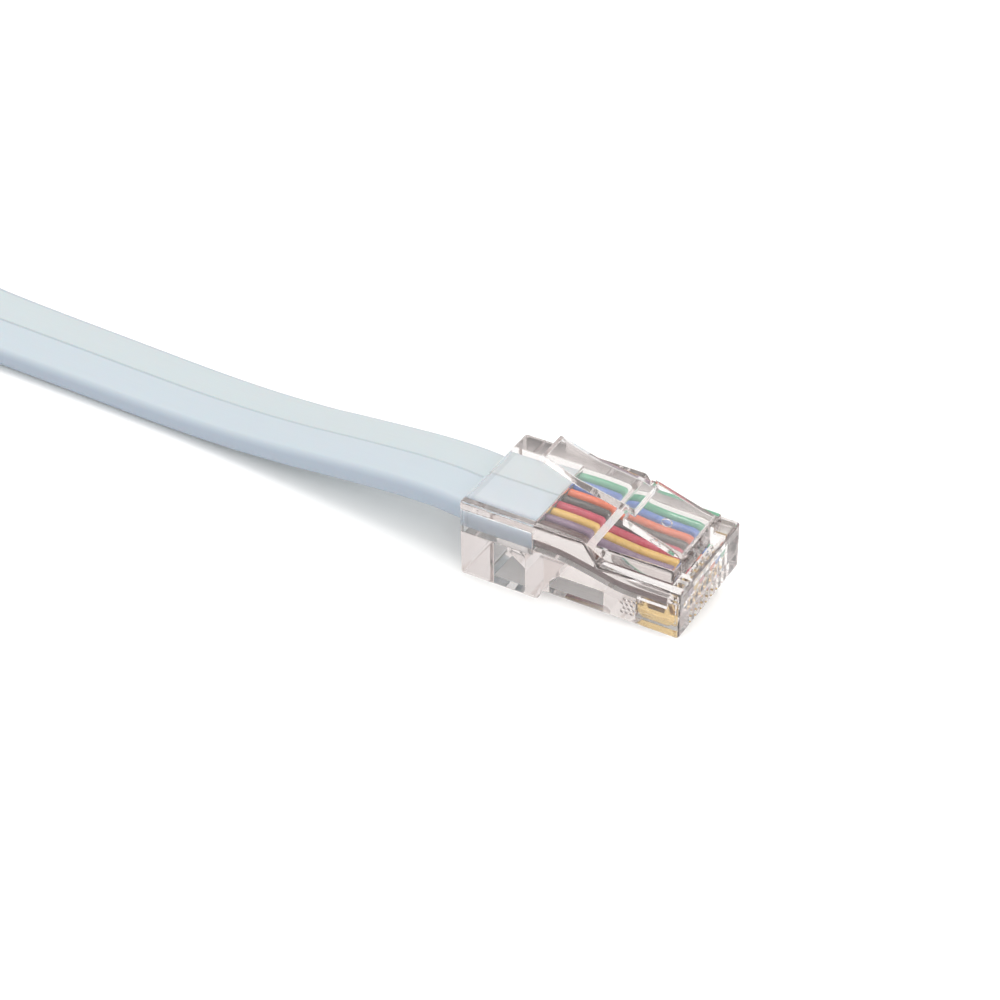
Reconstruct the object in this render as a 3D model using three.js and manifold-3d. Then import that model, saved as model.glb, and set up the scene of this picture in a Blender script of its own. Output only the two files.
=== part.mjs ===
// A flat eight-wire console cable with a clear modular plug on each end, in millimetres, +Z up.
// The first plug lies on its contact side at the origin, nose towards +X, latch up.
// The cable runs off towards -X, turns onto its edge, and is folded into a long hank held by two ties.
// The second plug lies on its side inside the hank.
import * as THREE from 'three';
import { mergeVertices } from 'three/addons/utils/BufferGeometryUtils.js';
import Module from 'manifold-3d';

const wasm = await Module();
wasm.setup();

// Wires and contacts: eight in a row.
const wireCount = 8;
const wirePitch = 1.02;
const wireDiameter = 0.95;
const wirePlay = 0.12;
const contactThickness = 0.32;
const contactLength = 3.5;
const contactBaseHeight = 1.2;
const contactTineHeight = 0.8;
const contactTineWidth = 0.5;
const contactLift = 0.15;
const contactPlay = 0.1;
const contactSetback = 0.95;
const slotMouthHeight = 1.7;

// Flat cable.
const cableWidth = 8.5;
const cableThickness = 2.3;
const cablePlay = 0.1;
const jacketInsertion = 6.75;

// Plug body. Heights are over the floor that the rear lug stands on.
const sideWall = 1.76;
const topWall = 1.45;
const bodyLength = 21.3;
const rearHeight = 7.9;
const lugDepth = 1.1;
const lugLength = 8.1;
const lugStepRun = 0.4;
const rearBlockLength = 12.2;
const shoulderRun = 1.3;
const ledgeHeight = 5.9;
const deckSideSetback = 1.14;
const deckHeight = 7.1;
const deckFrontSetback = 1.25;
const nosePocketDepth = 1.1;
const nosePocketWidth = 6.0;
const nosePocketWall = 0.45;

// Underside: the strain relief pocket with its wedge, and the long window before the contacts.
const reliefRearBar = 2.75;
const reliefLength = 3.1;
const reliefWidth = 6.8;
const wedgeRun = 2.0;
const wedgeThickness = 1.0;
const wedgeSidePlay = 0.3;
const windowGap = 2.55;
const windowLength = 5.3;
const windowWidth = 7.8;
const windowDepth = 1.5;
const windowBevel = 0.9;

// Latch, measured back from its root and up from the deck.
const latchThickness = 0.8;
const latchRootLength = 0.95;
const latchRootRise = 1.1;
const latchShoulderRun = 5.65;
const latchShoulderRise = 2.55;
const latchKneeRun = 10.65;
const latchKneeRise = 3.94;
const latchTipRun = 14.2;
const latchTipRise = 5.15;
const latchTipWidth = 3.3;
const latchNeckWidth = 4.1;
const latchCatchWidth = 6.2;
const latchRibWidth = 4.4;
const latchRibLength = 0.7;
const latchRibRise = 0.55;
const latchRunningGap = 0.25;

// Hank and its two ties.
const hankRun = 80;
const hankInnerRadius = 14;
const hankPitch = 3.05;
const hankTurns = 5.5;
const hankCentre = new THREE.Vector2(-156, -25.8);
const hankSegments = 32;
const tieWidth = 6;
const tieThickness = 0.5;
const tieGap = 0.25;

// Worked out from the above.
const rowWidth = (wireCount - 1) * wirePitch + wireDiameter;
const bodyWidth = wireCount * wirePitch + 2 * sideWall;
const rearX = -bodyLength / 2;
const noseX = bodyLength / 2;
const cableTop = rearHeight - topWall - cablePlay;
const cableLevel = cableTop - cableThickness / 2;
const cavityFloor = cableTop - cableThickness - cablePlay;
const jacketEndX = rearX + jacketInsertion;
const deckFrontX = noseX - deckFrontSetback;
const contactFrontX = noseX - contactSetback;
const contactRearX = contactFrontX - contactLength;
const contactFoot = lugDepth + contactLift;
const contactTop = contactFoot + contactBaseHeight + contactTineHeight;
const wireEndLevel = contactTop + contactPlay + wireDiameter / 2;
const wireStartX = jacketEndX + cablePlay;
const wireEndX = deckFrontX - 0.4;
const hankLift = tieThickness + tieGap;
const hankOuterRadius = hankInnerRadius + hankPitch * hankTurns;
const hankInside = hankInnerRadius - cableThickness / 2;
const hankOutside = hankOuterRadius + cableThickness / 2;

// The cable from the first plug to the hank: x, y, height, and its roll in degrees.
const leadRoute = [
  [jacketEndX, 0, cableLevel, 0],
  [rearX, 0, cableLevel, 0],
  [-14, 0.38, 5.1, 0],
  [-18, 0.81, 4.7, 0],
  [-22, 1.21, 4.1, 0],
  [-27, 1.67, 3.3, 0],
  [-32, 2.09, 2.5, 0],
  [-38, 2.53, 1.85, 1],
  [-44, 2.9, 1.5, 2],
  [-50, 3.19, 1.4, 3],
  [-57, 3.44, 1.45, 4],
  [-64, 3.65, 1.52, 5],
  [-70, 3.78, 1.64, 7],
  [-74, 3.87, 1.82, 10],
  [-79, 4.03, 2.4, 20],
  [-84, 4.23, 3.45, 38],
  [-89, 4.46, 4.35, 57],
  [-94, 4.7, 4.87, 76],
  [-99, 4.9, 5.0, 88],
  [-103.8, 4.97, 5.0, 90],
];
// The cable from the hank's inner turn to the second plug, from the hank's centre.
const tailRoute = [
  [-24.5, -11.5, 5.0],
  [-21, -10.1, 5.0],
  [-15, -7.2, 5.1],
  [-9, -4.2, 5.25],
  [-3, -1.7, 5.4],
  [3, -0.2, 5.6],
  [8, 0.55, 5.75],
  [13, 0.95, 5.84],
  [18, 1.0, 5.84],
  [18 + jacketInsertion, 1.0, 5.84],
];
const farPlugRear = new THREE.Vector2(18, 1.0);

const clearPlastic = { color: 0xe6e0de, roughness: 0.05, metalness: 0, transparent: true, opacity: 0.5 };
const cableJacket = { color: 0xc9dcdf, roughness: 0.45, metalness: 0 };
const goldPlate = { color: 0xd4b070, roughness: 0.25, metalness: 1 };
const tieFabric = { color: 0x8b9196, roughness: 0.9, metalness: 0 };
const wireColours = [0x4fae86, 0x5c82cf, 0xf07a50, 0x4c4c4e, 0xd2405c, 0xe6bd4f, 0x8d7796, 0x5d4444];

function mesh(name, geometry, look) {
  const made = new THREE.Mesh(geometry, new THREE.MeshStandardMaterial(look));
  made.name = name;
  return made;
}

function toSolid(geometry) {
  const bare = geometry.clone();
  bare.deleteAttribute('normal');
  bare.deleteAttribute('uv');
  const merged = mergeVertices(bare, 1e-4);
  return new wasm.Manifold(new wasm.Mesh({
    numProp: 3,
    vertProperties: new Float32Array(merged.attributes.position.array),
    triVerts: new Uint32Array(merged.index.array),
  }));
}

function toGeometry(solid) {
  const result = solid.getMesh();
  const geometry = new THREE.BufferGeometry();
  geometry.setAttribute('position', new THREE.BufferAttribute(result.vertProperties, 3));
  geometry.setIndex(new THREE.BufferAttribute(result.triVerts, 1));
  geometry.computeVertexNormals();
  return geometry;
}

function boxSolid(x0, x1, y0, y1, z0, z1) {
  const box = new THREE.BoxGeometry(x1 - x0, y1 - y0, z1 - z0);
  box.translate((x0 + x1) / 2, (y0 + y1) / 2, (z0 + z1) / 2);
  return toSolid(box);
}

// A side outline, x against height, carried across the plug's width.
function sideGeometry(outline, width, centreY = 0) {
  const shape = new THREE.Shape(outline.map(([x, z]) => new THREE.Vector2(x, z)));
  const geometry = new THREE.ExtrudeGeometry(shape, { depth: width, bevelEnabled: false });
  geometry.rotateX(Math.PI / 2);
  geometry.translate(0, centreY + width / 2, 0);
  return geometry;
}

function sideSolid(outline, width) {
  return toSolid(sideGeometry(outline, width));
}

function wireCurve(offsetY) {
  const run = wireEndX - wireStartX;
  const drop = cableLevel - wireEndLevel;
  const at = (share, fall) => new THREE.Vector3(
    wireStartX + run * share, offsetY, cableLevel - drop * fall);
  return new THREE.CatmullRomCurve3([
    at(0, 0), at(0.2, 0.06), at(0.42, 0.45), at(0.62, 0.9), at(0.78, 1), at(1, 1),
  ]);
}

// The channel that the row of wires lies in, as a side outline.
function wireChannel() {
  const reach = wireDiameter / 2 + wirePlay;
  const points = wireCurve(0).getSpacedPoints(12);
  const first = points[0];
  const last = points[points.length - 1];
  const upper = points.map((p) => [p.x, p.z + reach]);
  const lower = points.map((p) => [p.x, p.z - reach]);
  upper.unshift([first.x - 2 * wirePlay - cablePlay, first.z + reach]);
  lower.unshift([first.x - 2 * wirePlay - cablePlay, first.z - reach]);
  upper.push([last.x + wirePlay, last.z + reach]);
  lower.push([last.x + wirePlay, last.z - reach]);
  return sideSolid([...lower, ...upper.reverse()], rowWidth + 2 * wirePlay);
}

function contactY(index) {
  return ((wireCount - 1) / 2 - index) * wirePitch;
}

function contactSlots() {
  const half = contactThickness / 2 + contactPlay;
  const slots = [];
  for (let i = 0; i < wireCount; i += 1) {
    const y = contactY(i);
    const deep = boxSolid(contactRearX - contactPlay, contactFrontX + contactPlay, y - half, y + half,
      0, wireEndLevel);
    const mouth = boxSolid(contactFrontX - contactPlay, noseX + lugDepth, y - half, y + half,
      0, lugDepth + slotMouthHeight);
    slots.push(deep, mouth);
  }
  return slots;
}

function housingGeometry() {
  const blockEndX = rearX + rearBlockLength;
  const lugEndX = rearX + lugLength;
  const body = sideSolid([
    [rearX, 0], [lugEndX - lugStepRun, 0], [lugEndX, lugDepth], [noseX, lugDepth],
    [noseX, ledgeHeight], [blockEndX + shoulderRun, ledgeHeight], [blockEndX, rearHeight], [rearX, rearHeight],
  ], bodyWidth);
  const deckHalf = bodyWidth / 2 - deckSideSetback;
  const deck = boxSolid(blockEndX - shoulderRun, deckFrontX, -deckHalf, deckHalf, ledgeHeight - 1, deckHeight);
  const cavityHalf = cableWidth / 2 + cablePlay;
  const cavity = boxSolid(rearX - 1, jacketEndX + cablePlay, -cavityHalf, cavityHalf,
    cavityFloor, cableTop + cablePlay);
  const reliefX = rearX + reliefRearBar;
  const reliefEndX = reliefX + reliefLength;
  const relief = boxSolid(reliefX, reliefEndX, -reliefWidth / 2, reliefWidth / 2, -1, cavityFloor + cablePlay);
  const windowX = reliefEndX + windowGap;
  const windowEndX = windowX + windowLength;
  const windowTop = lugDepth + windowDepth;
  const window = sideSolid([
    [windowX, -1], [windowEndX, -1], [windowEndX, windowTop], [windowX + windowBevel, windowTop],
    [windowX, windowTop - windowBevel],
  ], windowWidth);
  const pocket = boxSolid(noseX - nosePocketWall - nosePocketDepth, noseX - nosePocketWall,
    -nosePocketWidth / 2, nosePocketWidth / 2, wireEndLevel + wireDiameter, deckHeight + 1);
  const wedge = sideSolid([
    [reliefEndX + wedgeThickness / 2, lugDepth], [reliefEndX + wedgeThickness / 2, lugDepth + wedgeThickness],
    [reliefEndX - wedgeRun + wedgeThickness, cavityFloor - cablePlay], [reliefEndX - wedgeRun, cavityFloor - cablePlay],
    [reliefEndX - wedgeRun, cavityFloor - wedgeThickness],
  ], reliefWidth - 2 * wedgeSidePlay);
  let solid = body.add(deck).subtract(cavity).subtract(wireChannel()).subtract(relief).subtract(window);
  solid = solid.subtract(pocket).add(wedge);
  for (const slot of contactSlots()) {
    solid = solid.subtract(slot);
  }
  return toGeometry(solid);
}

// The latch: a bent tongue, wide at its catch shoulders and narrow at its tab.
function latchGeometry() {
  const at = (run, rise) => [deckFrontX - run, deckHeight + rise];
  const tabRise = latchShoulderRise + latchRibRise;
  const side = sideSolid([
    at(0, latchRunningGap), at(latchRootLength, latchRunningGap),
    at(latchShoulderRun, latchShoulderRise - latchThickness),
    at(latchShoulderRun + latchRibLength, tabRise - latchThickness),
    at(latchKneeRun, latchKneeRise - latchThickness), at(latchTipRun, latchTipRise - latchThickness),
    at(latchTipRun, latchTipRise), at(latchKneeRun, latchKneeRise), at(latchShoulderRun, tabRise),
    at(latchShoulderRun, latchShoulderRise), at(latchRootLength, latchRootRise),
    at(0, latchRootRise - latchRunningGap),
  ], latchCatchWidth);
  const tipX = deckFrontX - latchTipRun;
  const shoulderX = deckFrontX - latchShoulderRun;
  const plan = new THREE.Shape([
    new THREE.Vector2(tipX, -latchTipWidth / 2),
    new THREE.Vector2(shoulderX, -latchNeckWidth / 2),
    new THREE.Vector2(shoulderX, -latchCatchWidth / 2),
    new THREE.Vector2(deckFrontX, -latchCatchWidth / 2),
    new THREE.Vector2(deckFrontX, latchCatchWidth / 2),
    new THREE.Vector2(shoulderX, latchCatchWidth / 2),
    new THREE.Vector2(shoulderX, latchNeckWidth / 2),
    new THREE.Vector2(tipX, latchTipWidth / 2),
  ]);
  const blank = new THREE.ExtrudeGeometry(plan, { depth: latchTipRise + 1, bevelEnabled: false });
  blank.translate(0, 0, deckHeight);
  const ribTop = deckHeight + tabRise;
  const rib = boxSolid(shoulderX, shoulderX + latchRibLength, -latchRibWidth / 2, latchRibWidth / 2,
    ribTop - latchThickness, ribTop);
  return toGeometry(side.intersect(toSolid(blank)).add(rib));
}

// One gold blade: a flat foot with two tines that stand up under the wire.
function contactGeometry(index) {
  const base = contactFoot + contactBaseHeight;
  const noseChamfer = contactTineWidth;
  const outline = [
    [contactRearX, contactFoot + noseChamfer], [contactRearX + noseChamfer, contactFoot],
    [contactFrontX - noseChamfer, contactFoot], [contactFrontX, contactFoot + noseChamfer],
    [contactFrontX, base], [contactFrontX - contactTineWidth, base],
    [contactFrontX - 1.5 * contactTineWidth, contactTop], [contactFrontX - 2 * contactTineWidth, base],
    [contactRearX + 2 * contactTineWidth, base], [contactRearX + 1.5 * contactTineWidth, contactTop],
    [contactRearX + contactTineWidth, base], [contactRearX, base],
  ];
  return sideGeometry(outline, contactThickness, contactY(index));
}

function wireGeometry(index) {
  const section = new THREE.Shape();
  section.absarc(0, 0, wireDiameter / 2, 0, Math.PI * 2, false);
  return new THREE.ExtrudeGeometry(section, {
    curveSegments: 8, steps: 12, bevelEnabled: false, extrudePath: wireCurve(contactY(index)),
  });
}

function plug(prefix) {
  const group = new THREE.Group();
  group.add(mesh(`${prefix}housing`, housingGeometry(), clearPlastic));
  group.add(mesh(`${prefix}latch`, latchGeometry(), clearPlastic));
  for (let i = 0; i < wireCount; i += 1) {
    group.add(mesh(`${prefix}contact_${i + 1}`, contactGeometry(i), goldPlate));
    const look = { color: wireColours[i % wireColours.length], roughness: 0.5, metalness: 0 };
    group.add(mesh(`${prefix}wire_${i + 1}`, wireGeometry(i), look));
  }
  return group;
}

// Section of the flat cable: width along the first axis, round edges.
function cableSection() {
  const radius = cableThickness / 2;
  const centre = cableWidth / 2 - radius;
  const points = [];
  for (const side of [1, -1]) {
    for (let step = -2; step <= 2; step += 1) {
      const angle = step * Math.PI / 4;
      points.push([side * (centre + radius * Math.cos(angle)), side * radius * Math.sin(angle)]);
    }
  }
  return points;
}

// The flat section carried along a route of x, y, height, and rolled onto its edge on the way.
function flatCable(route) {
  const curve = new THREE.CatmullRomCurve3(route.map(([x, y, z]) => new THREE.Vector3(x, y, z)));
  const section = cableSection();
  const rings = (route.length - 1) * 2;
  const positions = [];
  for (let i = 0; i <= rings; i += 1) {
    const t = i / rings;
    const centre = curve.getPoint(t);
    const along = curve.getTangent(t);
    const across = new THREE.Vector3(along.y, -along.x, 0).normalize();
    const up = new THREE.Vector3().crossVectors(across, along);
    const place = t * (route.length - 1);
    const index = Math.min(Math.floor(place), route.length - 2);
    const roll = THREE.MathUtils.degToRad(
      THREE.MathUtils.lerp(route[index][3], route[index + 1][3], place - index));
    for (const [wide, thick] of section) {
      const a = wide * Math.cos(roll) - thick * Math.sin(roll);
      const b = wide * Math.sin(roll) + thick * Math.cos(roll);
      positions.push(centre.x + across.x * a + up.x * b, centre.y + across.y * a + up.y * b,
        centre.z + across.z * a + up.z * b);
    }
  }
  const sides = section.length;
  const triangles = [];
  for (let i = 0; i < rings; i += 1) {
    for (let j = 0; j < sides; j += 1) {
      const next = (j + 1) % sides;
      const a = i * sides + j;
      const b = i * sides + next;
      triangles.push(a, b + sides, b, a, a + sides, b + sides);
    }
  }
  const last = rings * sides;
  for (let j = 1; j < sides - 1; j += 1) {
    triangles.push(0, j, j + 1, last, last + j + 1, last + j);
  }
  const geometry = new THREE.BufferGeometry();
  geometry.setAttribute('position', new THREE.Float32BufferAttribute(positions, 3));
  geometry.setIndex(triangles);
  geometry.computeVertexNormals();
  return geometry;
}

// A long loop with round ends, as a path in plan.
function loopPath(path, radius) {
  const reach = hankRun / 2;
  path.moveTo(-reach, -radius);
  path.lineTo(reach, -radius);
  path.absarc(reach, 0, radius, -Math.PI / 2, Math.PI / 2, false);
  path.lineTo(-reach, radius);
  path.absarc(-reach, 0, radius, Math.PI / 2, Math.PI * 1.5, false);
  return path;
}

// All turns as one long ring, the cable standing on its edge in every turn.
function hankGeometry() {
  const plan = loopPath(new THREE.Shape(), hankOutside);
  plan.holes.push(loopPath(new THREE.Path(), hankInside));
  const ring = new THREE.ExtrudeGeometry(plan, {
    depth: cableWidth, bevelEnabled: false, curveSegments: hankSegments,
  });
  ring.translate(hankCentre.x, hankCentre.y, hankLift);
  return ring;
}

// A flat strap closed round one side of the hank.
function tieGeometry(angle) {
  const inside = hankInside - tieGap;
  const outside = hankOutside + tieGap;
  const top = hankLift + cableWidth + tieGap;
  const loop = new THREE.Shape([
    new THREE.Vector2(inside - tieThickness, 0), new THREE.Vector2(outside + tieThickness, 0),
    new THREE.Vector2(outside + tieThickness, top + tieThickness),
    new THREE.Vector2(inside - tieThickness, top + tieThickness),
  ]);
  loop.holes.push(new THREE.Path([
    new THREE.Vector2(inside, tieThickness), new THREE.Vector2(inside, top),
    new THREE.Vector2(outside, top), new THREE.Vector2(outside, tieThickness),
  ]));
  const strap = new THREE.ExtrudeGeometry(loop, { depth: tieWidth, bevelEnabled: false });
  strap.translate(0, 0, -tieWidth / 2);
  strap.rotateX(Math.PI / 2);
  strap.rotateZ(angle);
  strap.translate(hankCentre.x, hankCentre.y, 0);
  return strap;
}

const cable = new THREE.Group();
cable.add(mesh('cable_lead', flatCable(leadRoute), cableJacket));
cable.add(mesh('cable_hank', hankGeometry(), cableJacket));
const tail = tailRoute.map(([x, y, z]) => [hankCentre.x + x, hankCentre.y + y, z, 90]);
cable.add(mesh('cable_tail', flatCable(tail), cableJacket));
cable.add(mesh('hank_tie_1', tieGeometry(Math.PI / 2), tieFabric));
cable.add(mesh('hank_tie_2', tieGeometry(-Math.PI / 2), tieFabric));

// The second plug lies on its side, nose towards +X, latch towards -Y, its cable entry at the tail's end.
const farPlug = plug('far_plug_');
const turned = new THREE.Group();
farPlug.position.set(-rearX, 0, -cableLevel);
turned.add(farPlug);
turned.rotation.set(Math.PI / 2, 0, 0);
turned.position.set(hankCentre.x + farPlugRear.x, hankCentre.y + farPlugRear.y, bodyWidth / 2);

const group = new THREE.Group();
group.add(plug('plug_'), cable, turned);

export default group;
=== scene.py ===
# %% [markdown]
# A flat console cable with a clear modular plug on each end. Nearly all of its character is in two
# materials: a soft, matt vinyl jacket, and polished clear polycarbonate with coloured wires inside.
# The solids of the plug are loaded first as a fixed frame, and every piece below is made around them.

import math

import bpy
from mathutils import Matrix, Vector


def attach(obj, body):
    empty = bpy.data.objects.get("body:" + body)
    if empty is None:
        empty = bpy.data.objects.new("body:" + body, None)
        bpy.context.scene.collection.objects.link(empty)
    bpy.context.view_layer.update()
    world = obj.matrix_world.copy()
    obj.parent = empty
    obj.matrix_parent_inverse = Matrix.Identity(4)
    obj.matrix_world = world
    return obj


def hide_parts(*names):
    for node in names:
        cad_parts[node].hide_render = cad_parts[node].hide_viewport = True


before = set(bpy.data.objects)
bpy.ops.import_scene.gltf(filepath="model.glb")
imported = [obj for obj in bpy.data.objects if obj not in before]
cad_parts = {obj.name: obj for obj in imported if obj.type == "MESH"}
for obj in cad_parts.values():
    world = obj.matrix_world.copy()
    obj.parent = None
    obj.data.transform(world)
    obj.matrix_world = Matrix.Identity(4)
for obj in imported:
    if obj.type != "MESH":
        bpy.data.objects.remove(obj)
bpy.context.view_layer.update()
MM = 0.001

# %% [markdown]
# The camera looks down on the plug from its near rear side. Its place was solved from the corners of
# the plug, whose real width is known, so a true perspective with a long lens is used here and not an
# orthographic one: the plug's near edges are visibly larger than its far ones.

# %% Camera
CAMERA_AZIMUTH = math.radians(30.4)
CAMERA_ELEVATION = math.radians(36.8)
CAMERA_ROLL = math.radians(-0.6)
CAMERA_DISTANCE = 213.9
CAMERA_SHIFT = (-8.66, 6.48)
FOCAL_LENGTH_IN_FRAMES = 2.4395
SENSOR_WIDTH = 36.0


def make_camera():
    ca, sa = math.cos(CAMERA_AZIMUTH), math.sin(CAMERA_AZIMUTH)
    ce, se = math.cos(CAMERA_ELEVATION), math.sin(CAMERA_ELEVATION)
    back = Vector((sa * ce, -ca * ce, se))
    level = Vector((ca, sa, 0))
    upward = back.cross(level)
    right = level * math.cos(CAMERA_ROLL) + upward * math.sin(CAMERA_ROLL)
    up = upward * math.cos(CAMERA_ROLL) - level * math.sin(CAMERA_ROLL)
    place = right * CAMERA_SHIFT[0] + up * CAMERA_SHIFT[1] + back * CAMERA_DISTANCE
    data = bpy.data.cameras.new("camera")
    data.sensor_width = SENSOR_WIDTH
    data.lens = SENSOR_WIDTH * FOCAL_LENGTH_IN_FRAMES
    data.clip_start = 0.01
    camera = bpy.data.objects.new("camera", data)
    turned = Matrix((right, up, back)).transposed().to_4x4()
    camera.matrix_world = Matrix.Translation(place * MM) @ turned
    bpy.context.collection.objects.link(camera)
    bpy.context.scene.camera = camera
    return camera


camera = make_camera()
print("camera", [round(value, 4) for value in camera.location])

# %% [markdown]
# The cable is extruded vinyl, 8.5 by 2.3 mm, with a shallow seam down the middle of each face. It could
# be a curve with a bevel shape, but a curve can't be rolled onto its edge as exactly as the hank needs.
# So the section is carried along the route ring by ring, and each ring is rolled by its own angle.

# %% Sizes of the cable and the plug, in millimetres
CABLE_WIDTH = 8.5
CABLE_THICKNESS = 2.3
JACKET_INSERTION = 6.75
BODY_LENGTH = 21.3
BODY_WIDTH = 11.68
REAR_HEIGHT = 7.9
TOP_WALL = 1.45
PLAY = 0.1
REAR_X = -BODY_LENGTH / 2
NOSE_X = BODY_LENGTH / 2
CABLE_TOP = REAR_HEIGHT - TOP_WALL - PLAY
CABLE_LEVEL = CABLE_TOP - CABLE_THICKNESS / 2
JACKET_END_X = REAR_X + JACKET_INSERTION

HANK_CENTRE = (-156.0, -25.8)
HANK_RUN = 80.0
HANK_INNER_RADIUS = 14.0
HANK_PITCH = 3.05
HANK_TURNS = 5.5
HANK_LEVEL = 5.0
HANK_OUTER_RADIUS = HANK_INNER_RADIUS + HANK_PITCH * HANK_TURNS
FAR_PLUG_REAR = (18.0, 1.0)
FAR_PLUG_LEVEL = BODY_WIDTH / 2

# %% [markdown]
# The first stretch of the route follows the photograph: out of the plug, down onto the floor, and out of
# the view. Past the view's edge the cable rolls onto its edge, because a flat cable only bends across its
# thin side, and runs round the hank from the outside in. The last stretch leads to the second plug.

# %% The cable's route: x, y, height and roll
LEAD_ROUTE = [
    (JACKET_END_X, 0, CABLE_LEVEL, 0),
    (REAR_X, 0, CABLE_LEVEL, 0),
    (-14, 0.38, 5.1, 0),
    (-18, 0.81, 4.7, 0),
    (-22, 1.21, 4.1, 0),
    (-27, 1.67, 3.3, 0),
    (-32, 2.09, 2.5, 0),
    (-38, 2.53, 1.85, 1),
    (-44, 2.9, 1.5, 2),
    (-50, 3.19, 1.4, 3),
    (-57, 3.44, 1.45, 4),
    (-64, 3.65, 1.52, 5),
    (-70, 3.78, 1.64, 7),
    (-74, 3.87, 1.82, 10),
    (-79, 4.03, 2.4, 20),
    (-84, 4.23, 3.45, 38),
    (-89, 4.46, 4.35, 57),
    (-94, 4.7, 4.87, 76),
    (-99, 4.9, 5.0, 88),
    (-103.8, 4.97, 5.0, 90),
    (-110, 4.975, 5.0, 90),
]
TAIL_ROUTE = [
    (-33, -13.75, 5.0),
    (-28.5, -12.85, 5.0),
    (-24.5, -11.5, 5.0),
    (-21, -10.1, 5.0),
    (-15, -7.2, 5.1),
    (-9, -4.2, 5.25),
    (-3, -1.7, 5.4),
    (3, -0.2, 5.6),
    (8, 0.55, 5.75),
    (13, 0.95, 5.84),
    (*FAR_PLUG_REAR, FAR_PLUG_LEVEL),
    (FAR_PLUG_REAR[0] + JACKET_INSERTION, FAR_PLUG_REAR[1], FAR_PLUG_LEVEL),
]


def hank_route(straight_steps=8, arc_steps=24):
    """Every turn of the hank from the outside in, a straight leg and then a half circle at a time."""
    points = []
    for leg in range(round(HANK_TURNS * 2)):
        side = 1 if leg % 2 == 0 else -1
        radius = HANK_OUTER_RADIUS - HANK_PITCH * leg / 2
        for step in range(straight_steps):
            along = side * HANK_RUN * (0.5 - step / straight_steps)
            points.append((HANK_CENTRE[0] + along, HANK_CENTRE[1] + side * radius, HANK_LEVEL, 90))
        for step in range(arc_steps):
            share = step / arc_steps
            angle = side * math.pi / 2 + math.pi * share
            inward = radius - HANK_PITCH / 2 * share * share * (3 - 2 * share)
            points.append((HANK_CENTRE[0] - side * HANK_RUN / 2 + inward * math.cos(angle),
                           HANK_CENTRE[1] + inward * math.sin(angle), HANK_LEVEL, 90))
    points.append((HANK_CENTRE[0] - HANK_RUN / 2, HANK_CENTRE[1] - HANK_INNER_RADIUS, HANK_LEVEL, 90))
    return points


def smooth_between(points, steps):
    """Points on one smooth curve through the given ones, each a tuple of numbers."""
    made = []
    for i in range(len(points) - 1):
        a = points[max(i - 1, 0)]
        b, c = points[i], points[i + 1]
        d = points[min(i + 2, len(points) - 1)]
        for step in range(steps):
            t = step / steps
            made.append(tuple(
                0.5 * (2 * q + (r - p) * t + (2 * p - 5 * q + 4 * r - s) * t ** 2
                       + (3 * q - p - 3 * r + s) * t ** 3)
                for p, q, r, s in zip(a, b, c, d)))
    made.append(tuple(points[-1]))
    return made


def whole_route():
    hank = hank_route()
    lead = smooth_between(LEAD_ROUTE + hank[:1], 4)[:-1]
    tail_points = [(HANK_CENTRE[0] + x, HANK_CENTRE[1] + y, z, 90) for x, y, z in TAIL_ROUTE]
    tail = smooth_between(hank[-1:] + tail_points, 4)[1:]
    return lead + hank + tail


def route_length(points):
    return sum(math.dist(a[:3], b[:3]) for a, b in zip(points, points[1:]))


route = whole_route()
print("cable length, mm:", round(route_length(route)))

# %% [markdown]
# Cut across, the cable is a flat strip with two round edges. Each face is very slightly crowned and has a
# fine seam in the middle, where the halves of the ribbon meet. The seam is part of the section itself, so
# it stays a true groove from every side, also where the cable is rolled onto its edge.

# %% Section of the cable: round edges, and a shallow seam in the middle of each face
EDGE_RADIUS = 0.85
EDGE_STEPS = 8
SEAM_DEPTH = 0.13
SEAM_HALF_WIDTH = 0.13
FACE_CROWN = 0.05


def cable_section():
    half_width = CABLE_WIDTH / 2
    half_thickness = CABLE_THICKNESS / 2
    flat = half_width - EDGE_RADIUS
    face = []
    for share in (1.0, 0.75, 0.5, 0.25, 0.1):
        rise = FACE_CROWN * math.sin(math.pi * share)
        face.append((flat * share, half_thickness + rise - FACE_CROWN))
    face.append((SEAM_HALF_WIDTH, half_thickness - FACE_CROWN * 0.9))
    face.append((0.0, half_thickness - FACE_CROWN - SEAM_DEPTH))
    top = face + [(-a, b) for a, b in reversed(face[:-1])]
    edge = []
    for step in range(1, EDGE_STEPS):
        angle = math.pi / 2 + math.pi * step / EDGE_STEPS
        bulge = half_thickness - FACE_CROWN
        edge.append((-flat + EDGE_RADIUS * math.cos(angle), bulge * math.sin(angle)))
    bottom = [(-a, -b) for a, b in top]
    other_edge = [(-a, -b) for a, b in edge]
    return top + edge + bottom + other_edge


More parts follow.
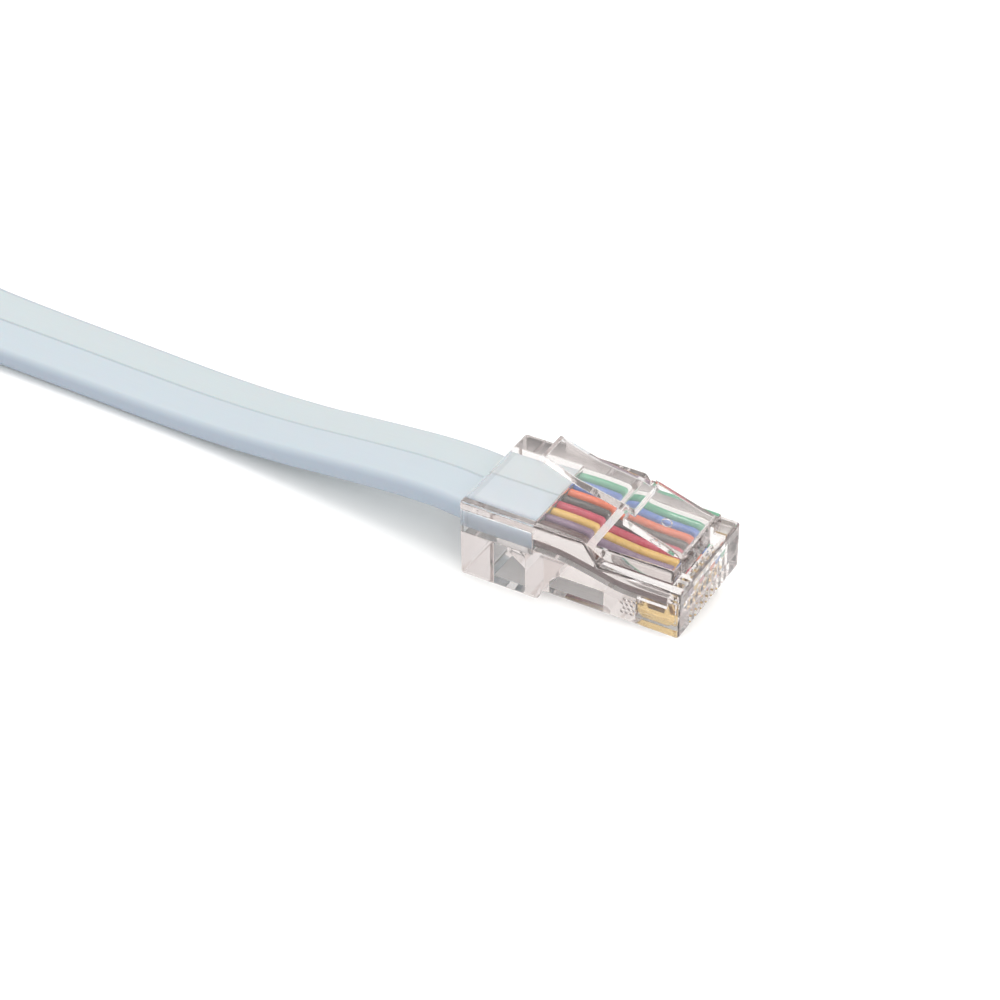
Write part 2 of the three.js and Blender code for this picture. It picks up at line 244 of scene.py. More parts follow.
def sweep(name, points, section):
    """A closed mesh of the section carried along the points, with its length and girth as a UV map."""
    rings, along = [], [0.0]
    for i, point in enumerate(points):
        before, after = points[max(i - 1, 0)], points[min(i + 1, len(points) - 1)]
        heading = (Vector(after[:3]) - Vector(before[:3])).normalized()
        across = Vector((heading.y, -heading.x, 0)).normalized()
        up = across.cross(heading)
        roll = math.radians(point[3])
        centre = Vector(point[:3])
        for wide, thick in section:
            a = wide * math.cos(roll) - thick * math.sin(roll)
            b = wide * math.sin(roll) + thick * math.cos(roll)
            rings.append((centre + across * a + up * b) * MM)
        if i:
            along.append(along[-1] + math.dist(point[:3], points[i - 1][:3]))
    sides = len(section)
    faces, uvs = [], []
    for i in range(len(points) - 1):
        for j in range(sides):
            k = (j + 1) % sides
            faces.append((i * sides + j, (i + 1) * sides + j, (i + 1) * sides + k, i * sides + k))
            uvs += [(along[i], j), (along[i + 1], j), (along[i + 1], j + 1), (along[i], j + 1)]
    last = (len(points) - 1) * sides
    faces.append(tuple(range(sides)))
    faces.append(tuple(last + j for j in reversed(range(sides))))
    uvs += [(0.0, 0.0)] * (2 * sides)
    mesh = bpy.data.meshes.new(name)
    mesh.from_pydata([tuple(v) for v in rings], [], faces)
    layer = mesh.uv_layers.new(name="route")
    for loop, (u, v) in zip(layer.data, uvs):
        loop.uv = (u / 10, v / sides)
    mesh.update()
    made = bpy.data.objects.new(name, mesh)
    bpy.context.collection.objects.link(made)
    return made


def select_only(piece):
    bpy.ops.object.select_all(action="DESELECT")
    piece.select_set(True)
    bpy.context.view_layer.objects.active = piece


def outward(piece):
    select_only(piece)
    bpy.ops.object.mode_set(mode="EDIT")
    bpy.ops.mesh.select_all(action="SELECT")
    bpy.ops.mesh.remove_doubles(threshold=1e-7)
    bpy.ops.mesh.normals_make_consistent(inside=False)
    bpy.ops.object.mode_set(mode="OBJECT")


def smooth(piece, degrees=35):
    select_only(piece)
    bpy.ops.object.shade_smooth_by_angle(angle=math.radians(degrees))


def even_normals(piece):
    """Lets large flat faces keep their own normals, so that only the rounded edges shade."""
    select_only(piece)
    weighted = piece.modifiers.new("even normals", "WEIGHTED_NORMAL")
    weighted.weight = 50
    weighted.keep_sharp = True
    bpy.ops.object.modifier_apply(modifier=weighted.name)


cable = sweep("cable", route, cable_section())
outward(cable)
smooth(cable, 40)
print("cable faces:", len(cable.data.polygons))

# %% [markdown]
# Clear plugs are injection moulded from polycarbonate. Their outline is a side profile carried across
# the width, so each form starts as a filled circle whose corners are moved to the profile, and it is
# then extruded across. The outer edges are rounded while the form is still simple, and only then are
# the pockets and slots cut, because a bevel over many small cuts would fold into itself.

# %% Tools for profiles, round edges and cuts
def prism(name, outline, width, rounding=0.0, segments=3):
    """A side profile, x against height, extruded across the plug, all in millimetres."""
    bpy.ops.object.select_all(action="DESELECT")
    bpy.ops.mesh.primitive_circle_add(vertices=len(outline), fill_type="NGON")
    made = bpy.context.object
    made.name = name
    made.data.name = name
    for vertex, (x, z) in zip(made.data.vertices, outline):
        vertex.co = Vector((x, -width / 2, z)) * MM
    bpy.ops.object.mode_set(mode="EDIT")
    bpy.ops.mesh.select_all(action="SELECT")
    bpy.ops.mesh.extrude_region_move(TRANSFORM_OT_translate={"value": (0, width * MM, 0)})
    bpy.ops.mesh.select_all(action="SELECT")
    bpy.ops.mesh.normals_make_consistent(inside=False)
    bpy.ops.object.mode_set(mode="OBJECT")
    if rounding:
        round_edges(made, rounding, segments)
    return made


def block(name, x0, x1, y0, y1, z0, z1, rounding=0.0, segments=3):
    made = prism(name, [(x0, z0), (x1, z0), (x1, z1), (x0, z1)], y1 - y0)
    shift = (y0 + y1) / 2 * MM
    for vertex in made.data.vertices:
        vertex.co.y += shift
    if rounding:
        round_edges(made, rounding, segments)
    return made


def round_edges(piece, radius, segments=3, degrees=20):
    select_only(piece)
    bevel = piece.modifiers.new("round edges", "BEVEL")
    bevel.width = radius * MM
    bevel.segments = segments
    bevel.limit_method = "ANGLE"
    bevel.angle_limit = math.radians(degrees)
    bpy.ops.object.modifier_apply(modifier=bevel.name)


def combine(piece, other, operation):
    select_only(piece)
    change = piece.modifiers.new("combine", "BOOLEAN")
    change.operation = operation
    change.object = other
    change.solver = "EXACT"
    bpy.ops.object.modifier_apply(modifier=change.name)
    bpy.data.objects.remove(other)


def copy_of(piece, name, place):
    made = piece.copy()
    made.data = piece.data.copy()
    made.name = name
    made.data.name = name
    made.data.transform(place)
    bpy.context.collection.objects.link(made)
    return made


# %% [markdown]
# The housing has a tall rear block with a lug under it, a lower nose with a ledge along each side, and
# a deck between the ledges that carries the latch. Inside are the jacket's cavity, the sloping channel
# for the row of wires, eight slots for the contacts, the strain relief's pocket with its wedge, and the
# long window in front of it.

# %% Sizes of the housing, in millimetres
WIRE_COUNT = 8
WIRE_PITCH = 1.02
WIRE_DIAMETER = 0.95
WIRE_PLAY = 0.12
ROW_WIDTH = (WIRE_COUNT - 1) * WIRE_PITCH + WIRE_DIAMETER
LUG_DEPTH = 1.1
LUG_END_X = REAR_X + 8.1
LUG_STEP_RUN = 0.4
BLOCK_END_X = REAR_X + 12.2
SHOULDER_RUN = 1.3
LEDGE_HEIGHT = 5.9
DECK_HALF = BODY_WIDTH / 2 - 1.14
DECK_HEIGHT = 7.1
DECK_FRONT_X = NOSE_X - 1.25
CAVITY_FLOOR = CABLE_TOP - CABLE_THICKNESS - PLAY
CONTACT_FRONT_X = NOSE_X - 0.95
CONTACT_REAR_X = CONTACT_FRONT_X - 3.5
CONTACT_FOOT = LUG_DEPTH + 0.15
CONTACT_BASE = CONTACT_FOOT + 1.2
CONTACT_TOP = CONTACT_BASE + 0.8
WIRE_END_LEVEL = CONTACT_TOP + PLAY + WIRE_DIAMETER / 2
WIRE_START_X = JACKET_END_X + PLAY
WIRE_END_X = DECK_FRONT_X - 0.4
CONTACT_THICKNESS = 0.32
SLOT_WIDTH = CONTACT_THICKNESS + 2 * PLAY
RELIEF_X = REAR_X + 2.75
RELIEF_END_X = RELIEF_X + 3.1
RELIEF_WIDTH = 6.8
WINDOW_X = RELIEF_END_X + 2.55
WINDOW_END_X = WINDOW_X + 5.3
WINDOW_TOP = LUG_DEPTH + 1.5
WINDOW_WIDTH = 7.8
WINDOW_CHAMFER = 0.9
POCKET_X = NOSE_X - 1.55
POCKET_END_X = NOSE_X - 0.45
POCKET_HALF = 3.0
MOUTH_TOP = LUG_DEPTH + 1.7
EDGE_ROUNDING = 0.3
GATE_X, GATE_HEIGHT, GATE_PITCH = 5.8, 2.85, 0.46
GATE_ROWS, GATE_COLUMNS = 4, 3
DENT_RADIUS = 0.3
DENT_CENTRE_Y = -BODY_WIDTH / 2 - DENT_RADIUS * 0.65


def wire_line(steps):
    """The wires' centreline from the jacket's end to over the contacts, x against height."""
    run, drop = WIRE_END_X - WIRE_START_X, CABLE_LEVEL - WIRE_END_LEVEL
    shares = [(0, 0), (0.2, 0.06), (0.42, 0.45), (0.62, 0.9), (0.78, 1), (1, 1)]
    corners = [(WIRE_START_X + run * a, CABLE_LEVEL - drop * b) for a, b in shares]
    return smooth_between(corners, steps)


def contact_y(index):
    return ((WIRE_COUNT - 1) / 2 - index) * WIRE_PITCH


def cut_gate_mark(body):
    """The rough patch on the near wall where the plastic's feed was broken off after moulding."""
    bpy.ops.object.select_all(action="DESELECT")
    bpy.ops.mesh.primitive_ico_sphere_add(subdivisions=2, radius=DENT_RADIUS * MM)
    dent = bpy.context.object
    dents = []
    for row in range(GATE_ROWS):
        for column in range(GATE_COLUMNS):
            x = GATE_X + GATE_PITCH * (column - (GATE_COLUMNS - 1) / 2 + row % 2 / 2)
            z = GATE_HEIGHT + GATE_PITCH * (row - (GATE_ROWS - 1) / 2)
            turned = Matrix.Rotation(row * 1.1 + column * 0.7, 4, "Y")
            place = Matrix.Translation(Vector((x, DENT_CENTRE_Y, z)) * MM)
            dents.append(copy_of(dent, "dent", place @ turned))
    bpy.data.objects.remove(dent)
    select_only(dents[0])
    for piece in dents:
        piece.select_set(True)
    bpy.ops.object.join()
    combine(body, dents[0], "DIFFERENCE")


def make_housing():
    body = prism("housing", [
        (REAR_X, 0), (LUG_END_X - LUG_STEP_RUN, 0), (LUG_END_X, LUG_DEPTH), (NOSE_X, LUG_DEPTH),
        (NOSE_X, LEDGE_HEIGHT), (BLOCK_END_X + SHOULDER_RUN, LEDGE_HEIGHT), (BLOCK_END_X, REAR_HEIGHT),
        (REAR_X, REAR_HEIGHT),
    ], BODY_WIDTH, rounding=EDGE_ROUNDING)
    deck = block("deck", BLOCK_END_X - SHOULDER_RUN, DECK_FRONT_X, -DECK_HALF, DECK_HALF,
                 LEDGE_HEIGHT - 1, DECK_HEIGHT, rounding=EDGE_ROUNDING)
    combine(body, deck, "UNION")
    half = CABLE_WIDTH / 2 + PLAY
    combine(body, block("cavity", REAR_X - 1, WIRE_START_X, -half, half, CAVITY_FLOOR, CABLE_TOP + PLAY,
                        rounding=0.25), "DIFFERENCE")
    reach = WIRE_DIAMETER / 2 + WIRE_PLAY
    line = wire_line(3)
    start = WIRE_START_X - 2 * WIRE_PLAY - PLAY
    end = WIRE_END_X + WIRE_PLAY
    lower = [(start, line[0][1] - reach)] + [(x, z - reach) for x, z in line] + [(end, line[-1][1] - reach)]
    upper = [(start, line[0][1] + reach)] + [(x, z + reach) for x, z in line] + [(end, line[-1][1] + reach)]
    combine(body, prism("channel", lower + upper[::-1], ROW_WIDTH + 2 * WIRE_PLAY), "DIFFERENCE")
    combine(body, block("relief", RELIEF_X, RELIEF_END_X, -RELIEF_WIDTH / 2, RELIEF_WIDTH / 2, -1,
                        CAVITY_FLOOR + PLAY), "DIFFERENCE")
    window = prism("window", [
        (WINDOW_X, -1), (WINDOW_END_X, -1), (WINDOW_END_X, WINDOW_TOP),
        (WINDOW_X + WINDOW_CHAMFER, WINDOW_TOP), (WINDOW_X, WINDOW_TOP - WINDOW_CHAMFER),
    ], WINDOW_WIDTH)
    combine(body, window, "DIFFERENCE")
    combine(body, block("pocket", POCKET_X, POCKET_END_X, -POCKET_HALF, POCKET_HALF,
                        WIRE_END_LEVEL + WIRE_DIAMETER, DECK_HEIGHT + 1), "DIFFERENCE")
    wedge = prism("wedge", [
        (RELIEF_END_X + 0.5, LUG_DEPTH), (RELIEF_END_X + 0.5, LUG_DEPTH + 1),
        (RELIEF_END_X - 1, CAVITY_FLOOR - PLAY), (RELIEF_END_X - 2, CAVITY_FLOOR - PLAY),
        (RELIEF_END_X - 2, CAVITY_FLOOR - 1),
    ], RELIEF_WIDTH - 0.6, rounding=0.12)
    combine(body, wedge, "UNION")
    for index in range(WIRE_COUNT):
        y0, y1 = contact_y(index) - SLOT_WIDTH / 2, contact_y(index) + SLOT_WIDTH / 2
        combine(body, block("slot", CONTACT_REAR_X - PLAY, CONTACT_FRONT_X + PLAY, y0, y1, 0,
                            WIRE_END_LEVEL), "DIFFERENCE")
        combine(body, block("mouth", CONTACT_FRONT_X - PLAY, NOSE_X + 1, y0, y1, 0, MOUTH_TOP), "DIFFERENCE")
    cut_gate_mark(body)
    outward(body)
    smooth(body, 30)
    even_normals(body)
    return body


housing = make_housing()
print("housing faces:", len(housing.data.polygons))

# %% [markdown]
# The latch is a springy tongue of the same plastic. From the side it is a bent strip, and from above
# it is wide at its catch shoulders and narrow at the tab that a finger presses, so it is made as the
# overlap of two profiles, as a designer would draw it. The fine ring on its catch is the mark of the pin
# that pushed it out of the mould.

# %% Latch
LATCH_GAP = 0.25
CATCH_RUN, TIP_RUN = 5.65, 14.2
LATCH_UNDERSIDE = [
    (0, LATCH_GAP), (0.95, LATCH_GAP), (CATCH_RUN, 1.75), (6.35, 2.3), (10.65, 3.14), (TIP_RUN, 4.35),
]
LATCH_TOP = [
    (TIP_RUN, 5.15), (10.65, 3.94), (CATCH_RUN, 3.1), (CATCH_RUN, 2.55), (0.95, 1.1), (0, 0.85),
]
RIB_RUN, RIB_UNDERSIDE, RIB_TOP = 0.7, 2.3, 3.1
CATCH_HALF, RIB_HALF, TAB_HALF, TIP_HALF = 3.1, 2.2, 2.05, 1.65
PLAN_DEPTH = 12
CATCH_SLOPE = math.atan2(1.45, 4.7)
EJECTOR_RING = (6.8, -0.81, 8.72)
RING_RADIUS, RING_DEPTH = 0.45, 0.07


def deck_at(run, rise):
    """A point of the side view, measured back from the deck's front and up from its top."""
    return (DECK_FRONT_X - run, DECK_HEIGHT + rise)


def make_latch():
    side = prism("latch", [deck_at(run, rise) for run, rise in LATCH_UNDERSIDE + LATCH_TOP], 2 * CATCH_HALF)
    catch_x, tip_x = DECK_FRONT_X - CATCH_RUN, DECK_FRONT_X - TIP_RUN
    plan = prism("plan", [
        (tip_x, -TIP_HALF), (catch_x, -TAB_HALF), (catch_x, -CATCH_HALF), (DECK_FRONT_X, -CATCH_HALF),
        (DECK_FRONT_X, CATCH_HALF), (catch_x, CATCH_HALF), (catch_x, TAB_HALF), (tip_x, TIP_HALF),
    ], PLAN_DEPTH)
    for vertex in plan.data.vertices:
        x, y, z = vertex.co
        vertex.co = (x, z, y + (DECK_HEIGHT + 2) * MM)
    outward(plan)
    combine(side, plan, "INTERSECT")
    rib = block("rib", catch_x, catch_x + RIB_RUN, -RIB_HALF, RIB_HALF, DECK_HEIGHT + RIB_UNDERSIDE,
                DECK_HEIGHT + RIB_TOP)
    combine(side, rib, "UNION")
    round_edges(side, 0.12, 2, 25)
    bpy.ops.object.select_all(action="DESELECT")
    bpy.ops.mesh.primitive_torus_add(
        major_radius=RING_RADIUS * MM, minor_radius=RING_DEPTH * MM, major_segments=28, minor_segments=8,
        location=Vector(EJECTOR_RING) * MM, rotation=(0, CATCH_SLOPE, 0))
    combine(side, bpy.context.object, "DIFFERENCE")
    outward(side)
    smooth(side, 30)
    even_normals(side)
    return side


latch = make_latch()
print("latch faces:", len(latch.data.polygons))

# %% [markdown]
# Each contact is a stamped, gold plated blade with two tines that bite up into a wire. One is made and
# copied seven times at the row's pitch. The wires are thin vinyl tubes, made from curves because a
# round tube has no roll to control, and turned into meshes at once.

# %% Contacts and wires
def make_contact():
    front, rear, tine = CONTACT_FRONT_X, CONTACT_REAR_X, 0.5
    blade = prism("contact", [
        (rear, CONTACT_FOOT + tine), (rear + tine, CONTACT_FOOT), (front - tine, CONTACT_FOOT),
        (front, CONTACT_FOOT + tine), (front, CONTACT_BASE), (front - tine, CONTACT_BASE),
        (front - 1.5 * tine, CONTACT_TOP), (front - 2 * tine, CONTACT_BASE),
        (rear + 2 * tine, CONTACT_BASE), (rear + 1.5 * tine, CONTACT_TOP), (rear + tine, CONTACT_BASE),
        (rear, CONTACT_BASE),
    ], CONTACT_THICKNESS)
    round_edges(blade, 0.05, 2)
    smooth(blade, 30)
    return blade


def make_wire(index):
    name = f"wire_{index + 1}"
    data = bpy.data.curves.new(name, "CURVE")
    data.dimensions = "3D"
    data.bevel_depth = WIRE_DIAMETER / 2 * MM
    data.bevel_resolution = 4
    data.use_fill_caps = True
    points = wire_line(6)
    spline = data.splines.new("POLY")
    spline.points.add(len(points) - 1)
    for point, (x, z) in zip(spline.points, points):
        point.co = (x * MM, contact_y(index) * MM, z * MM, 1)
    made = bpy.data.objects.new(name, data)
    bpy.context.collection.objects.link(made)
    select_only(made)
    bpy.ops.object.convert(target="MESH")
    made = bpy.context.object
    outward(made)
    smooth(made, 50)
    return made


blade = make_contact()
contacts = [copy_of(blade, f"contact_{i + 1}", Matrix.Translation((0, contact_y(i) * MM, 0)))
            for i in range(WIRE_COUNT)]
bpy.data.objects.remove(blade)
wires = [make_wire(index) for index in range(WIRE_COUNT)]
print("contacts:", len(contacts), "wires:", len(wires))

# %% [markdown]
# Two short straps of hook and loop tape hold the hank, one round each of its long sides. A strap is a
# closed band, cut as a frame from two rounded blocks and then turned to its side of the hank.

# %% Ties
def make_tie(name, angle):
    gap, thickness, width = 0.25, 0.5, 6.0
    inside = HANK_INNER_RADIUS - CABLE_THICKNESS / 2 - gap
    outside = HANK_OUTER_RADIUS + CABLE_THICKNESS / 2 + gap
    top = HANK_LEVEL + CABLE_WIDTH / 2 + gap
    band = block(name, inside - thickness, outside + thickness, -width / 2, width / 2, 0,
                 top + thickness, rounding=0.2)
    hole = block("hole", inside, outside, -width, width, thickness, top)
    combine(band, hole, "DIFFERENCE")
    place = Matrix.Translation(Vector((HANK_CENTRE[0], HANK_CENTRE[1], 0)) * MM)
    band.data.transform(place @ Matrix.Rotation(angle, 4, "Z"))
    outward(band)
    smooth(band, 30)
    return band


ties = [make_tie("tie_1", math.pi / 2), make_tie("tie_2", -math.pi / 2)]

# %% [markdown]
# The second plug is the same product, so its pieces are copies of the first plug's, each with its own
# mesh, turned on its side and moved to the cable's other end inside the hank.

# %% The second plug
far_place = (
    Matrix.Translation(Vector((HANK_CENTRE[0] + FAR_PLUG_REAR[0], HANK_CENTRE[1] + FAR_PLUG_REAR[1],
                               FAR_PLUG_LEVEL)) * MM)
    @ Matrix.Rotation(math.pi / 2, 4, "X")
    @ Matrix.Translation(Vector((-REAR_X, 0, -CABLE_LEVEL)) * MM)
)
far_housing = copy_of(housing, "far_housing", far_place)
far_latch = copy_of(latch, "far_latch", far_place)
far_contacts = [copy_of(piece, f"far_{piece.name}", far_place) for piece in contacts]
far_wires = [copy_of(piece, f"far_{piece.name}", far_place) for piece in wires]

# %% [markdown]
# Materials are written as node graphs from a few helpers: one turns the hex colours of a colour picker
# into the linear numbers that a renderer works in, one adds a node, and one gives a finished material
# to a list of pieces.

# %% Tools for materials
def linear(hex_colour):
    values = [int(hex_colour[i:i + 2], 16) / 255 for i in (1, 3, 5)]
    return tuple(v / 12.92 if v <= 0.04045 else ((v + 0.055) / 1.055) ** 2.4 for v in values) + (1.0,)


def add_node(tree, kind, values=(), links=(), **settings):
    made = tree.nodes.new(kind)
    for key, value in settings.items():
        setattr(made, key, value)
    for socket, value in dict(values).items():
        made.inputs[socket].default_value = value
    for socket, source in dict(links).items():
        tree.links.new(source, made.inputs[socket])
    return made


def new_material(name):
    material = bpy.data.materials.new(name)
    material.use_nodes = True
    material.node_tree.nodes.clear()
    return material, material.node_tree


def close_material(tree, shader, volume=None):
    output = add_node(tree, "ShaderNodeOutputMaterial", links={"Surface": shader.outputs[0]})
    if volume:
        tree.links.new(volume.outputs[0], output.inputs["Volume"])


def give(material, pieces):
    for piece in pieces:
        piece.data.materials.clear()
        piece.data.materials.append(material)


# %% [markdown]
# The housing and latch are injection moulded polycarbonate, index 1.586. A thin wall of it is water
# clear. The warm grey absorption inside the plastic is painted: it stands in for warm grey surroundings
# seen through the plug's clear sides, and it deepens where light crosses the whole width. The polish of
# the mould is nearly perfect, so the roughness is very low, and the only relief is a slow waviness from
# the flow of the plastic as it set. Rays from lamps pass straight in, which keeps the wires inside bright.

# %% Clear polycarbonate
def clear_polycarbonate():
    material, tree = new_material("clear polycarbonate, polished")
    place = add_node(tree, "ShaderNodeTexCoord")
    flow = add_node(tree, "ShaderNodeTexNoise", {"Scale": 260.0, "Detail": 1.5},
                    {"Vector": place.outputs["Object"]})
    bump = add_node(tree, "ShaderNodeBump", {"Strength": 0.06, "Distance": 0.00004},
                    {"Height": flow.outputs["Fac"]})
    shader = add_node(tree, "ShaderNodeBsdfPrincipled", {
        "Base Color": linear("#FFFFFF"), "Roughness": 0.015, "IOR": 1.586, "Transmission Weight": 1.0,
    }, {"Normal": bump.outputs["Normal"]})
    rays = add_node(tree, "ShaderNodeLightPath")
    open_to_lamps = add_node(tree, "ShaderNodeBsdfTransparent")
    surface = add_node(tree, "ShaderNodeMixShader", links={
        0: rays.outputs["Is Shadow Ray"], 1: shader.outputs[0], 2: open_to_lamps.outputs[0],
    })
    # Painted view of the surroundings: this warm grey absorption stands in for warm grey surroundings seen
    # through the plug's sides.
    inside = add_node(tree, "ShaderNodeVolumeAbsorption", {"Color": linear("#CBBFBC"), "Density": 70.0})
    close_material(tree, surface, inside)
    return material


give(clear_polycarbonate(), [housing, latch, far_housing, far_latch])

# %% [markdown]
# The jacket is extruded soft vinyl. Extrusion leaves very fine lines along the length, and the surface
# has a satin skin. The colour is a pale blue that leans to mint on one half. Both round edges carry
# painted shade: they are coloured deeper and bluer, where the cable's sides fall darker in the light.
# A colour ramp over the girth of the route's own map carries these tones.

# %% Extruded vinyl jacket
# Painted shade: the round edges' tone is darker and bluer and stands in for the shade on the cable's sides.
MINT_HALF, BLUE_HALF, PAINTED_SHADE_EDGE = "#BAC4C7", "#B7C2C9", "#9DA8B5"
GIRTH_TONES = [
    (0.0, MINT_HALF), (0.14, MINT_HALF), (0.16, BLUE_HALF), (0.31, BLUE_HALF), (0.37, PAINTED_SHADE_EDGE),
    (0.46, PAINTED_SHADE_EDGE), (0.51, BLUE_HALF), (0.81, BLUE_HALF), (0.87, PAINTED_SHADE_EDGE), (0.96, PAINTED_SHADE_EDGE),
    (1.0, MINT_HALF),
]


def vinyl_jacket():
    material, tree = new_material("extruded vinyl, satin pale blue")
    route_map = add_node(tree, "ShaderNodeUVMap", uv_map="route")
    stretched = add_node(tree, "ShaderNodeMapping", {"Scale": (0.6, 90.0, 1.0)},
                         {"Vector": route_map.outputs["UV"]})
    lines = add_node(tree, "ShaderNodeTexNoise", {"Scale": 3.0, "Detail": 3.0},
                     {"Vector": stretched.outputs["Vector"]})
    place = add_node(tree, "ShaderNodeTexCoord")
    grain = add_node(tree, "ShaderNodeTexNoise", {"Scale": 5200.0, "Detail": 2.0},
                     {"Vector": place.outputs["Object"]})
    across = add_node(tree, "ShaderNodeSeparateXYZ", links={"Vector": route_map.outputs["UV"]})
    # The ramp paints shade onto both round edges of the girth.
    girth = add_node(tree, "ShaderNodeValToRGB", links={"Fac": across.outputs["Y"]})
    ramp = girth.color_ramp
    ramp.elements[0].color = ramp.elements[1].color = linear(MINT_HALF)
    for position, tone_colour in GIRTH_TONES[1:-1]:
        ramp.elements.new(position).color = linear(tone_colour)
    tone = add_node(tree, "ShaderNodeMapRange", {"To Min": 0.97, "To Max": 1.02},
                    {"Value": lines.outputs["Fac"]})
    colour = add_node(tree, "ShaderNodeVectorMath", operation="SCALE",
                      links={"Vector": girth.outputs["Color"], "Scale": tone.outputs["Result"]})
    fine = add_node(tree, "ShaderNodeBump", {"Strength": 0.25, "Distance": 0.00002},
                    {"Height": grain.outputs["Fac"]})
    bump = add_node(tree, "ShaderNodeBump", {"Strength": 0.3, "Distance": 0.00003},
                    {"Height": lines.outputs["Fac"], "Normal": fine.outputs["Normal"]})
    rough = add_node(tree, "ShaderNodeMapRange", {"To Min": 0.38, "To Max": 0.5},
                     {"Value": grain.outputs["Fac"]})
    shader = add_node(tree, "ShaderNodeBsdfPrincipled", {
        "IOR": 1.53, "Subsurface Weight": 0.15, "Subsurface Scale": 0.0008,
    }, {"Base Color": colour.outputs["Vector"], "Roughness": rough.outputs["Result"],
        "Normal": bump.outputs["Normal"]})
    close_material(tree, shader)
    return material


give(vinyl_jacket(), [cable])

# %% [markdown]
# The wires' insulation is thin coloured vinyl with a slight shine, and no two colours are alike. The
# colours are those of the photograph's row, from the far side of the plug to the near one.

# %% Coloured wire insulation
WIRE_COLOURS = [
    ("green", "#4CA884"), ("blue", "#4D79C2"), ("orange", "#E06C42"), ("black", "#4A4745"),
    ("red", "#BC3450"), ("yellow", "#DBB35A"), ("purple", "#7F6880"), ("brown", "#58403F"),
]


def wire_insulation(name, hex_colour):
    material, tree = new_material(f"vinyl insulation, {name}")
    place = add_node(tree, "ShaderNodeTexCoord")
    mottle = add_node(tree, "ShaderNodeTexNoise", {"Scale": 1800.0, "Detail": 3.0},
                      {"Vector": place.outputs["Object"]})
    tone = add_node(tree, "ShaderNodeMapRange", {"To Min": 0.86, "To Max": 1.1},
                    {"Value": mottle.outputs["Fac"]})
    colour = add_node(tree, "ShaderNodeVectorMath", {"Vector": linear(hex_colour)[:3]},
                      {"Scale": tone.outputs["Result"]}, operation="SCALE")
    bump = add_node(tree, "ShaderNodeBump", {"Strength": 0.3, "Distance": 0.00003},
                    {"Height": mottle.outputs["Fac"]})
    shader = add_node(tree, "ShaderNodeBsdfPrincipled", {"Roughness": 0.35, "IOR": 1.53},
                      {"Base Color": colour.outputs["Vector"], "Normal": bump.outputs["Normal"]})
    close_material(tree, shader)
    return material


for index, (name, hex_colour) in enumerate(WIRE_COLOURS):
    give(wire_insulation(name, hex_colour), [wires[index], far_wires[index]])

# %% [markdown]
# The contacts are phosphor bronze under a thin plating of gold, stamped from sheet, so their sides carry
# fine rubbed lines. The strap is a woven tape, drawn with a small weave of crossed waves.

# %% Gold plate and woven tape
def gold_plate():
    material, tree = new_material("gold plated bronze, stamped")
    place = add_node(tree, "ShaderNodeTexCoord")
    rubbed = add_node(tree, "ShaderNodeMapping", {"Scale": (300.0, 300.0, 4000.0)},
                      {"Vector": place.outputs["Object"]})
    lines = add_node(tree, "ShaderNodeTexNoise", {"Scale": 2.0, "Detail": 2.0},
                     {"Vector": rubbed.outputs["Vector"]})
    rough = add_node(tree, "ShaderNodeMapRange", {"To Min": 0.16, "To Max": 0.34},
                     {"Value": lines.outputs["Fac"]})
    shader = add_node(tree, "ShaderNodeBsdfPrincipled", {"Base Color": linear("#DFC288"), "Metallic": 1.0},
                      {"Roughness": rough.outputs["Result"]})
    close_material(tree, shader)
    return material


def woven_tape():
    material, tree = new_material("woven nylon tape, grey")
    place = add_node(tree, "ShaderNodeTexCoord")
    weave = add_node(tree, "ShaderNodeTexWave", {"Scale": 900.0, "Distortion": 1.2, "Detail": 1.0},
                     {"Vector": place.outputs["Object"]})
    cross = add_node(tree, "ShaderNodeTexWave", {"Scale": 900.0, "Distortion": 1.2, "Detail": 1.0},
                     {"Vector": place.outputs["Object"]}, bands_direction="Y")
    both = add_node(tree, "ShaderNodeMath", links={0: weave.outputs["Fac"], 1: cross.outputs["Fac"]},
                    operation="MULTIPLY")
    colour = add_node(tree, "ShaderNodeValToRGB", links={"Fac": both.outputs[0]})
    colour.color_ramp.elements[0].color = linear("#5D646B")
    colour.color_ramp.elements[1].color = linear("#9AA1A8")
    bump = add_node(tree, "ShaderNodeBump", {"Strength": 0.6, "Distance": 0.0001},
                    {"Height": both.outputs[0]})
    shader = add_node(tree, "ShaderNodeBsdfPrincipled", {"Roughness": 0.85, "Sheen Weight": 0.3},
                      {"Base Color": colour.outputs["Color"], "Normal": bump.outputs["Normal"]})
    close_material(tree, shader)
    return material


give(gold_plate(), contacts + far_contacts)
give(woven_tape(), ties)

# %% [markdown]
# Every made piece now takes the place of its plain solid and rides on a body, so that the latches move
# with their hinges. The swept cable takes the place of the cable's three plain solids and rides on the root
# body.

# %% Bodies and the cord
def stand_for(piece, node, body="root"):
    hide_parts(node)
    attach(piece, body)


stand_for(housing, "plug_housing")
stand_for(latch, "plug_latch", "latch")
stand_for(far_housing, "far_plug_housing")
stand_for(far_latch, "far_plug_latch", "far_latch")
for index in range(WIRE_COUNT):
    stand_for(contacts[index], f"plug_contact_{index + 1}")
    stand_for(wires[index], f"plug_wire_{index + 1}")
    stand_for(far_contacts[index], f"far_plug_contact_{index + 1}")
    stand_for(far_wires[index], f"far_plug_wire_{index + 1}")
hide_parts("cable_lead", "cable_hank", "cable_tail")
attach(cable, "root")
for index, tie in enumerate(ties):
    stand_for(tie, f"hank_tie_{index + 1}")

# %% [markdown]
# The photograph is a high key product shot: everything round the object is white. A white floor, a
# bright surround and one broad lamp overhead give that. A faintly warm wall behind the object is out of
# the view, but it is what the eye meets through the plug's clear sides.

# %% Floor and light
FLOOR_SIZE = 3.0
FLOOR_DROP = 0.00005
WALL_DIRECTION = (-0.405, 0.69, 0.6)


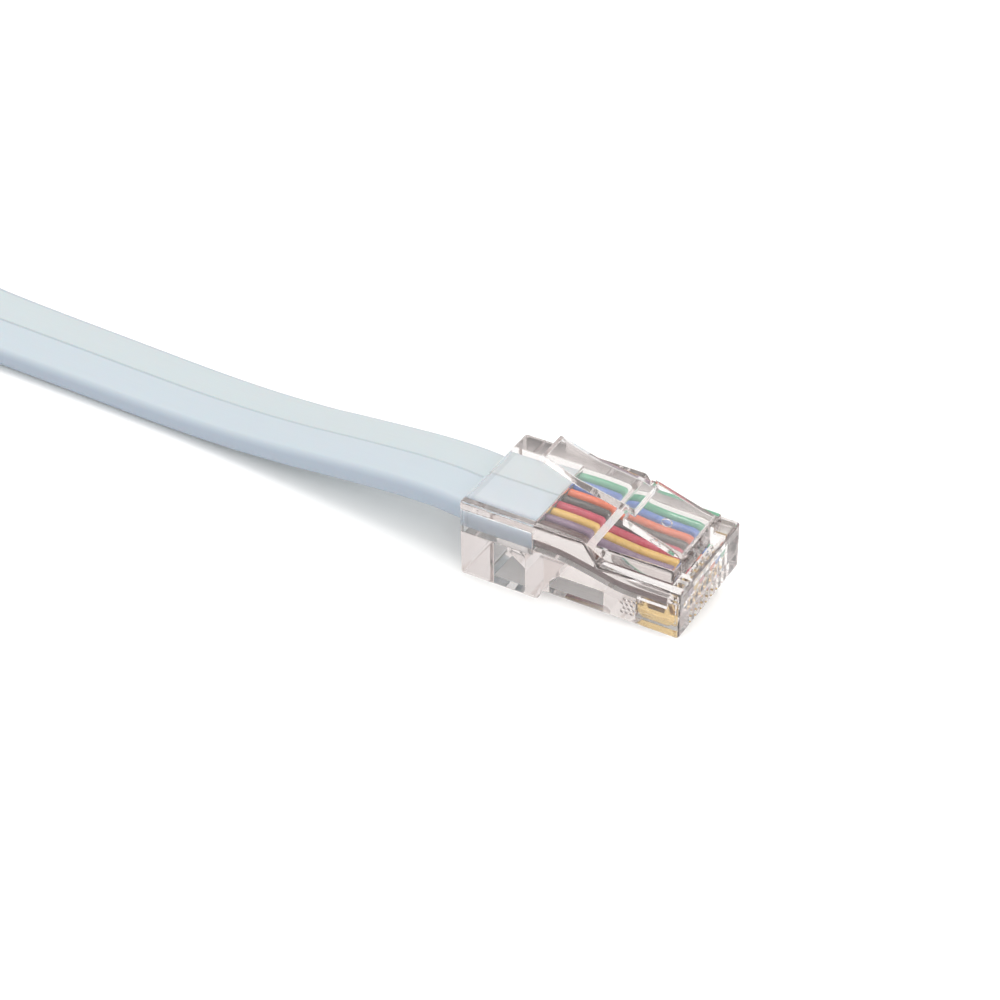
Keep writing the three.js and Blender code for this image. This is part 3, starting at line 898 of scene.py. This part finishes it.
def make_floor():
    bpy.ops.object.select_all(action="DESELECT")
    bpy.ops.mesh.primitive_plane_add(size=FLOOR_SIZE, location=(0, 0, -FLOOR_DROP))
    floor = bpy.context.object
    floor.name = "floor"
    material, tree = new_material("white paper sweep")
    shader = add_node(tree, "ShaderNodeBsdfDiffuse", {"Color": linear("#FBFBFA")})
    close_material(tree, shader)
    give(material, [floor])


def make_lamp(name, place, size, power):
    data = bpy.data.lights.new(name, "AREA")
    data.shape = "SQUARE"
    data.size = size
    data.energy = power
    lamp = bpy.data.objects.new(name, data)
    lamp.location = place
    lamp.rotation_mode = "QUATERNION"
    lamp.rotation_quaternion = (-Vector(place)).to_track_quat("-Z", "Y")
    bpy.context.collection.objects.link(lamp)


def make_surround():
    world = bpy.data.worlds.new("studio")
    world.use_nodes = True
    tree = world.node_tree
    tree.nodes.clear()
    place = add_node(tree, "ShaderNodeTexCoord")
    toward = add_node(tree, "ShaderNodeVectorMath", {1: WALL_DIRECTION}, {0: place.outputs["Generated"]},
                      operation="DOT_PRODUCT")
    walls = add_node(tree, "ShaderNodeValToRGB", links={"Fac": toward.outputs["Value"]})
    walls.color_ramp.elements[0].position = 0.6
    walls.color_ramp.elements[0].color = (1.0, 1.0, 1.0, 1.0)
    walls.color_ramp.elements[1].position = 0.85
    walls.color_ramp.elements[1].color = linear("#F3EDEA")
    surround = add_node(tree, "ShaderNodeBackground", {"Strength": 1.1},
                        {"Color": walls.outputs["Color"]})
    add_node(tree, "ShaderNodeOutputWorld", links={"Surface": surround.outputs[0]})
    bpy.context.scene.world = world


make_floor()
make_surround()
make_lamp("overhead softbox", (-0.15, 0.1, 0.7), 0.35, 1.6)
make_lamp("front softbox", (0.5, -0.5, 0.35), 0.4, 0.45)
bpy.context.scene.view_settings.view_transform = "Standard"

# Light turns many times inside clear walls, so its paths run on for longer than usual, or they end black.
light_paths = bpy.context.scene.cycles
light_paths.max_bounces = 32
light_paths.glossy_bounces = 24
light_paths.transmission_bounces = 32
